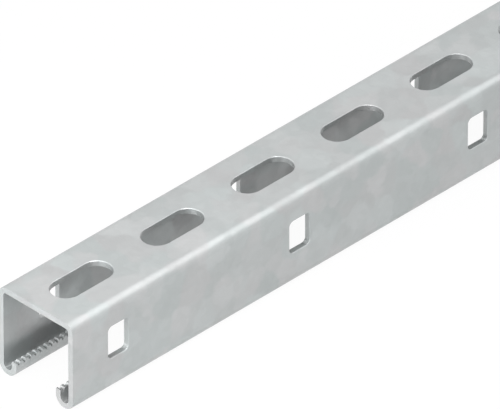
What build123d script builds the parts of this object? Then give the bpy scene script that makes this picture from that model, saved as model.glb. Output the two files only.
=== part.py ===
"""Slotted strut channel: one length of roll-formed, galvanised strip, 41 x 41 x 2.5 mm, 300 mm long.

It stands as stocked on a level floor: slotted back up, open mouth down, resting on the two rolled lips.
The length runs along X, the width along Y, and the lowest point is at Z = 0.
"""
from build123d import *
import os

# ---- driving sizes, mm -------------------------------------------------------------------------------------
LENGTH = 300.0        # cut length
WIDTH = 41.0          # over the side walls
HEIGHT = 41.0         # from the rolled lips to the slotted back
WALL = 2.5            # thickness of the strip, the same all round the section
BACK_RADIUS = 4.0     # outside radius of the two bends beside the slotted back
MOUTH = 22.0          # gap between the two lips
LIP_TOP = 7.5         # height of the lips' toothed edges above the lowest point

TOOTH_PITCH = 3.0     # serrated lips: V notches pressed across each lip's edge
NOTCH_DEPTH = 1.4
NOTCH_MOUTH = 1.8     # width of a notch at the lip's edge; what is left between two is a tooth's flat top
NOTCH_FLOOR = 0.3     # width at its root
LIP_CHAMFER = 0.25    # eases the lip's edge along both of its faces

SLOT_PITCH = 50.0     # slots in the back
SLOT_LENGTH = 30.0
SLOT_WIDTH = 13.0

SIDE_PITCH = 100.0    # upright windows in the side walls, in line with every other slot
SIDE_WIDTH = 11.0
SIDE_HEIGHT = 15.0
SIDE_CORNER = 2.0     # radius of a window's corners
SIDE_MID = 23.1       # height of a window's middle

RIM_CHAMFER = 0.25    # the rim round each slot and window, broken on the strip's outside

CUT_CLEAR = 1.0       # how far the cutting shapes run past the metal

# ---- what follows from them --------------------------------------------------------------------------------
half_width = WIDTH / 2
lip_face = MOUTH / 2                              # each lip's face towards the mouth
lip_radius = (half_width - lip_face) / 2          # a wall turns in and back up round half a circle
lip_mid = half_width - lip_radius                 # where that half circle has its centre


def stations(pitch):
    """Places along X at this pitch, the first and the last half a pitch in from the ends."""
    count = round(LENGTH / pitch)
    return [(i - (count - 1) / 2) * pitch for i in range(count)]


slot_stations = stations(SLOT_PITCH)
side_stations = slot_stations[::round(SIDE_PITCH / SLOT_PITCH)]


def half_outline(side, inset):
    """One side of the strip's outline in the YZ plane, `inset` in from the outside face: from the lip's edge
    round the lip, up the wall and round the bend to the middle of the back."""
    lip_r = lip_radius - inset
    back_r = BACK_RADIUS - inset
    wall_y = half_width - inset
    back_z = HEIGHT - inset
    lip_y = lip_mid - lip_r
    add(Line((side * lip_y, LIP_TOP), (side * lip_y, lip_radius)))
    add(ThreePointArc((side * lip_y, lip_radius), (side * lip_mid, lip_radius - lip_r), (side * wall_y, lip_radius)))
    add(Line((side * wall_y, lip_radius), (side * wall_y, back_z - back_r)))
    add(RadiusArc((side * wall_y, back_z - back_r), (side * (wall_y - back_r), back_z), -side * back_r))
    add(Line((side * (wall_y - back_r), back_z), (0, back_z)))


def section():
    """The rolled section in the YZ plane: back, two walls and two lips, all one strip thick."""
    with BuildSketch(Plane.YZ) as sketch:
        with BuildLine():
            for side in (1, -1):
                for inset in (0, WALL):
                    half_outline(side, inset)
                Line((side * lip_face, LIP_TOP), (side * (lip_face + WALL), LIP_TOP))
        make_face()
    return sketch.sketch


def tooth_comb():
    """The negative of a row of teeth, in the XZ plane: everything above the lip's edge and its V notches."""
    root = LIP_TOP - NOTCH_DEPTH
    edge = []
    for x in stations(TOOTH_PITCH):
        edge += [
            (x - NOTCH_MOUTH / 2, LIP_TOP),
            (x - NOTCH_FLOOR / 2, root),
            (x + NOTCH_FLOOR / 2, root),
            (x + NOTCH_MOUTH / 2, LIP_TOP),
        ]
    end = LENGTH / 2 + CUT_CLEAR
    top = LIP_TOP + CUT_CLEAR
    with BuildSketch(Plane.XZ) as sketch:
        Polygon((-end, top), (-end, LIP_TOP), *edge, (end, LIP_TOP), (end, top), align=None)
    return sketch.sketch


with BuildPart() as channel:
    # the plain rolled channel
    extrude(section(), LENGTH / 2, both=True)

    # the lips' edges, eased along both faces
    lip_edges = channel.edges().filter_by(Axis.X).filter_by(
        lambda e: abs(e.center().Z - LIP_TOP) < 0.01 and abs(e.center().Y) < lip_face + WALL + 0.01)
    chamfer(lip_edges, LIP_CHAMFER)

    # slots along the back
    with BuildSketch(Plane.XY.offset(HEIGHT + CUT_CLEAR)):
        with Locations(*[(x, 0) for x in slot_stations]):
            SlotOverall(SLOT_LENGTH, SLOT_WIDTH)
    extrude(amount=-(WALL + 2 * CUT_CLEAR), mode=Mode.SUBTRACT)

    # windows through both side walls
    with BuildSketch(Plane.XZ):
        with Locations(*[(x, SIDE_MID) for x in side_stations]):
            RectangleRounded(SIDE_WIDTH, SIDE_HEIGHT, SIDE_CORNER)
    extrude(amount=half_width + CUT_CLEAR, both=True, mode=Mode.SUBTRACT)

    # the punched rims, broken on the outside of the back and of both walls
    slot_rims = channel.edges().filter_by(
        lambda e: abs(e.center().Z - HEIGHT) < 0.01 and abs(e.center().Y) < SLOT_WIDTH / 2 + 0.01
        and abs(e.center().X) < LENGTH / 2 - 0.01)
    window_rims = channel.edges().filter_by(
        lambda e: abs(abs(e.center().Y) - half_width) < 0.01
        and abs(e.center().Z - SIDE_MID) < SIDE_HEIGHT / 2 + 0.01 and abs(e.center().X) < LENGTH / 2 - 0.01)
    chamfer(slot_rims + window_rims, RIM_CHAMFER)

    # teeth along both lips, cut clear of the side walls
    comb = extrude(tooth_comb(), WALL / 2 + CUT_CLEAR, both=True, mode=Mode.PRIVATE)
    for side in (1, -1):
        add(Pos(0, side * (lip_face + WALL / 2), 0) * comb, mode=Mode.SUBTRACT)

strut = channel.part.solid()
strut.label = "strut_channel"

os.makedirs("parts", exist_ok=True)
export_step(strut, "parts/strut_channel.step")
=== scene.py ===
"""Looks for the strut channel: hot-dip galvanised zinc over the whole of its one rolled piece."""

import math

import bpy
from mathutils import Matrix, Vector


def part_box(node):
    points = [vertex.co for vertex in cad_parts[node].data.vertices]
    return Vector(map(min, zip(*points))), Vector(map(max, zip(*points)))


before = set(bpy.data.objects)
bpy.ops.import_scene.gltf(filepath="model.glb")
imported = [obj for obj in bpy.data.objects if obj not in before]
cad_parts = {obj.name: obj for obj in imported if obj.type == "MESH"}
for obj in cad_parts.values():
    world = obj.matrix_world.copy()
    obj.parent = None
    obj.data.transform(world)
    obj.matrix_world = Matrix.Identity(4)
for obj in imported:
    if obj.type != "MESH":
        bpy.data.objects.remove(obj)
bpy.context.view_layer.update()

MM = 0.001
CHANNEL = "strut_channel"
low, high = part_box(CHANNEL)
HEIGHT = high.z - low.z


# ---- node helpers --------------------------------------------------------------------------------------
class Nodes:
    """Short calls for building one node tree."""

    def __init__(self, tree):
        self.tree = tree
        tree.nodes.clear()

    def add(self, kind, **settings):
        """A node of this kind. A setting names a property, or a socket when its name starts with in_."""
        node = self.tree.nodes.new(kind)
        for name, value in settings.items():
            if not name.startswith("in_"):
                setattr(node, name, value)
        for name, value in settings.items():
            if name.startswith("in_"):
                self.put(value, self.socket(node, name[3:]))
        return node

    @staticmethod
    def socket(node, name):
        """An input by its number or by its name, with _ for a space."""
        if name.isdigit():
            return node.inputs[int(name)]
        return node.inputs[name.replace("_", " ")]

    def put(self, value, socket):
        """Links a node's first output, or an output socket, or sets a plain value."""
        if isinstance(value, bpy.types.Node):
            value = value.outputs[0]
        if isinstance(value, bpy.types.NodeSocket):
            self.tree.links.new(value, socket)
        else:
            socket.default_value = value

    def maths(self, operation, a, b=0.0, c=0.0):
        return self.add("ShaderNodeMath", operation=operation, in_0=a, in_1=b, in_2=c).outputs[0]

    def remap(self, value, from_low, from_high, to_low, to_high):
        node = self.add("ShaderNodeMapRange", in_Value=value)
        node.inputs["From Min"].default_value = from_low
        node.inputs["From Max"].default_value = from_high
        node.inputs["To Min"].default_value = to_low
        node.inputs["To Max"].default_value = to_high
        return node.outputs[0]

    def noise(self, place, grain, detail=2.0, roughness=0.5, w=0.0):
        """Soft noise from 0 to 1 whose lumps are about `grain` metres across. w picks another draw of it."""
        return self.add(
            "ShaderNodeTexNoise", noise_dimensions="4D", in_Vector=place, in_W=w,
            in_Scale=1 / grain, in_Detail=detail, in_Roughness=roughness)


def colour(red, green, blue):
    return (red, green, blue, 1.0)


# ---- zinc ----------------------------------------------------------------------------------------------
ZINC = (0.439, 0.453, 0.451)      # the coat's own colour
METALLIC = 0.65
ROUGHNESS = 0.40

WARP = 5.0 * MM                   # crystals have uneven outlines: noise of this grain bends them
SPANGLE = 11.0 * MM               # across one zinc crystal
FLECK = 3.2 * MM                  # smaller crystals between them
CLOUD = 38.0 * MM                 # slow change of tone along the bath's run
RIPPLE = 5.0 * MM                 # the coat's thick and thin places
GRAIN = 0.5 * MM                  # the skin's fine grain

SPANGLE_SOFTNESS = 0.35           # how far one crystal runs into the next
FLECK_SOFTNESS = 0.5

SPANGLE_TONE = 0.04               # how far each makes the coat lighter or darker, as a share
FLECK_TONE = 0.018
CLOUD_TONE = 0.045
GRAIN_TONE = 0.015
SPANGLE_GLOSS = 0.12              # and rougher or smoother
FLECK_GLOSS = 0.06
BLUE_GREEN = colour(0.980, 1.004, 1.008)     # the two tints, as factors on the coat's colour
ROSE = colour(1.014, 0.996, 1.004)

RIPPLE_HEIGHT = 0.3 * MM
RIPPLE_STRENGTH = 0.8
GRAIN_HEIGHT = 0.02 * MM
GRAIN_STRENGTH = 0.25


def bent_place(n, place):
    """Object coordinates pushed about by noise, so that cells drawn with them have uneven outlines."""
    push = n.noise(place, WARP, detail=2, w=1.7).outputs["Color"]
    centred = n.add("ShaderNodeVectorMath", operation="SUBTRACT", in_0=push, in_1=(0.5, 0.5, 0.5))
    scaled = n.add("ShaderNodeVectorMath", operation="SCALE", in_0=centred, in_Scale=WARP)
    return n.add("ShaderNodeVectorMath", operation="ADD", in_0=place, in_1=scaled).outputs[0]


def crystals(n, place, across, softness):
    """Cells about `across` metres wide, each with its own random colour, and edges this soft."""
    return n.add("ShaderNodeTexVoronoi", feature="SMOOTH_F1", in_Vector=place, in_Scale=1 / across,
                 in_Smoothness=softness, in_Randomness=1.0)


def tone(n, value, swing):
    """A factor about 1 that follows a 0 to 1 value, this far either way."""
    return n.remap(value, 0.2, 0.8, 1 - swing, 1 + swing)


def zinc_material():
    """Hot-dip zinc: soft crystals of slightly different tone, tint and gloss, on a faintly rippled coat."""
    material = bpy.data.materials.new("galvanised_zinc")
    material.use_nodes = True
    n = Nodes(material.node_tree)
    place = n.add("ShaderNodeTexCoord").outputs["Object"]
    bent = bent_place(n, place)

    spangle = crystals(n, bent, SPANGLE, SPANGLE_SOFTNESS)
    fleck = crystals(n, bent, FLECK, FLECK_SOFTNESS)
    own = n.add("ShaderNodeSeparateColor", in_Color=spangle.outputs["Color"])
    small = n.add("ShaderNodeSeparateColor", in_Color=fleck.outputs["Color"])
    cloud = n.noise(place, CLOUD, detail=3, w=4.2)
    grain = n.noise(place, GRAIN, detail=1, w=0.3)

    # tone: crystals, flecks, clouds and grain each make the coat a little lighter or darker
    level = tone(n, own.outputs["Red"], SPANGLE_TONE)
    for value, swing in ((small.outputs["Red"], FLECK_TONE), (cloud, CLOUD_TONE), (grain, GRAIN_TONE)):
        level = n.maths("MULTIPLY", level, tone(n, value, swing))

    # tint: some crystals lean to blue-green and some to rose
    lean = n.remap(own.outputs["Green"], 0.15, 0.85, 0, 1)
    tint = n.add("ShaderNodeMix", data_type="RGBA", in_0=lean)
    tint.inputs["A"].default_value = BLUE_GREEN
    tint.inputs["B"].default_value = ROSE
    coat = n.add("ShaderNodeVectorMath", operation="MULTIPLY", in_0=tint.outputs["Result"], in_1=ZINC)
    coat = n.add("ShaderNodeVectorMath", operation="SCALE", in_0=coat, in_Scale=level)

    gloss = n.maths("MULTIPLY", tone(n, own.outputs["Blue"], SPANGLE_GLOSS), ROUGHNESS)
    gloss = n.maths("MULTIPLY", gloss, tone(n, small.outputs["Green"], FLECK_GLOSS))

    ripple = n.noise(place, RIPPLE, detail=2, w=2.9)
    surface = n.add(
        "ShaderNodeBump", in_Height=ripple, in_Strength=RIPPLE_STRENGTH, in_Distance=RIPPLE_HEIGHT)
    surface = n.add(
        "ShaderNodeBump", in_Height=grain, in_Strength=GRAIN_STRENGTH, in_Distance=GRAIN_HEIGHT,
        in_Normal=surface)

    shader = n.add(
        "ShaderNodeBsdfPrincipled", in_Base_Color=coat, in_Roughness=gloss, in_Normal=surface,
        in_Metallic=METALLIC)
    n.add("ShaderNodeOutputMaterial", in_Surface=shader)
    return material


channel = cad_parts[CHANNEL]
channel.data.materials[0] = zinc_material()


# ---- stage ---------------------------------------------------------------------------------------------
FLOOR_SIZE = 60.0
FLOOR_GREY = 0.85
FLOOR_WHITE_SHARE = 0.95          # how much of its plain white shows; the rest shows the shadow
WORLD_LIGHT = 0.6                 # the world's strength for the rays that carry light about
WHITE = colour(1, 1, 1)


def seen_directly(n):
    """1 where a camera, glossy or transmission ray looks, 0 for the rays that carry light about."""
    path = n.add("ShaderNodeLightPath")
    seen = n.maths("MAXIMUM", path.outputs["Is Camera Ray"], path.outputs["Is Glossy Ray"])
    return n.maths("MAXIMUM", seen, path.outputs["Is Transmission Ray"])


def white_world():
    world = bpy.data.worlds.new("white")
    bpy.context.scene.world = world
    world.use_nodes = True
    n = Nodes(world.node_tree)
    strength = n.remap(seen_directly(n), 0, 1, WORLD_LIGHT, 1.0)
    backdrop = n.add("ShaderNodeBackground", in_Color=WHITE, in_Strength=strength)
    n.add("ShaderNodeOutputWorld", in_Surface=backdrop)


def floor():
    """A plain pale floor. Its own white shows, and the channel's shadow on it stays faint."""
    half = FLOOR_SIZE / 2
    mesh = bpy.data.meshes.new("floor")
    corners = [(-half, -half, 0), (half, -half, 0), (half, half, 0), (-half, half, 0)]
    mesh.from_pydata(corners, [], [(0, 1, 2, 3)])
    plane = bpy.data.objects.new("floor", mesh)
    bpy.context.scene.collection.objects.link(plane)
    material = bpy.data.materials.new("floor_white")
    material.use_nodes = True
    n = Nodes(material.node_tree)
    matt = n.add("ShaderNodeBsdfDiffuse", in_Color=colour(FLOOR_GREY, FLOOR_GREY, FLOOR_GREY))
    glow = n.add("ShaderNodeEmission", in_Color=WHITE, in_Strength=1.0)
    share = n.maths("MULTIPLY", seen_directly(n), FLOOR_WHITE_SHARE)
    both = n.add("ShaderNodeMixShader", in_0=share, in_1=matt, in_2=glow)
    n.add("ShaderNodeOutputMaterial", in_Surface=both)
    mesh.materials.append(material)


def lamp(name, azimuth, elevation, distance, size, power, target):
    """A square soft box in this direction from its target, in degrees. Azimuth 0 is -Y and 270 is -X."""
    light = bpy.data.lights.new(name, "AREA")
    light.shape = "SQUARE"
    light.size = size
    light.energy = power
    box = bpy.data.objects.new(name, light)
    turn, lift = math.radians(azimuth), math.radians(elevation)
    aim = Vector((math.sin(turn) * math.cos(lift), -math.cos(turn) * math.cos(lift), math.sin(lift)))
    box.location = Vector(target) + aim * distance
    box.rotation_euler = aim.to_track_quat("Z", "Y").to_euler()
    bpy.context.scene.collection.objects.link(box)


def lamps():
    """Soft boxes. Three stand close to the near end, so that the channel darkens slowly along its length.
    The one high beyond its far end lays a bright band along the right-hand bend."""
    near_end = (low.x, 0, HEIGHT / 2)
    middle = (0, 0, HEIGHT / 2)
    for name, azimuth, elevation, distance, size, power, target in (
        ("end_box", 270, 20, 0.4, 0.3, 1.77, near_end),
        ("front_box", 315, 50, 0.4, 0.4, 0.98, near_end),
        ("side_box", 0, 50, 0.4, 0.2, 0.42, near_end),
        ("back_box", 225, 32, 1.2, 1.3, 3.54, middle),
        ("bend_box", 75, 60, 1.2, 1.2, 4.9, middle),
    ):
        lamp(name, azimuth, elevation, distance, size, power, target)


# ---- camera --------------------------------------------------------------------------------------------
SENSOR = 36.0
LENS = 1350.0
AZIMUTH = math.radians(-45)
ELEVATION = math.atan(1 / math.sqrt(2))      # with that azimuth, an isometric view
CLIP_START = 0.1
SPAN = 0.1968                                # metres across the picture at the target
TARGET = (-0.02217, 0.00993, 0.02034)


def camera():
    data = bpy.data.cameras.new("camera")
    data.sensor_width = SENSOR
    data.lens = LENS
    towards = Vector((
        math.sin(AZIMUTH) * math.cos(ELEVATION),
        -math.cos(AZIMUTH) * math.cos(ELEVATION),
        math.sin(ELEVATION)))
    distance = SPAN * LENS / SENSOR
    data.clip_start = CLIP_START
    data.clip_end = 4 * distance
    eye = bpy.data.objects.new("camera", data)
    eye.location = Vector(TARGET) + towards * distance
    eye.rotation_euler = towards.to_track_quat("Z", "Y").to_euler()
    bpy.context.scene.collection.objects.link(eye)
    bpy.context.scene.camera = eye


white_world()
floor()
lamps()
camera()
bpy.context.scene.view_settings.view_transform = "Standard"
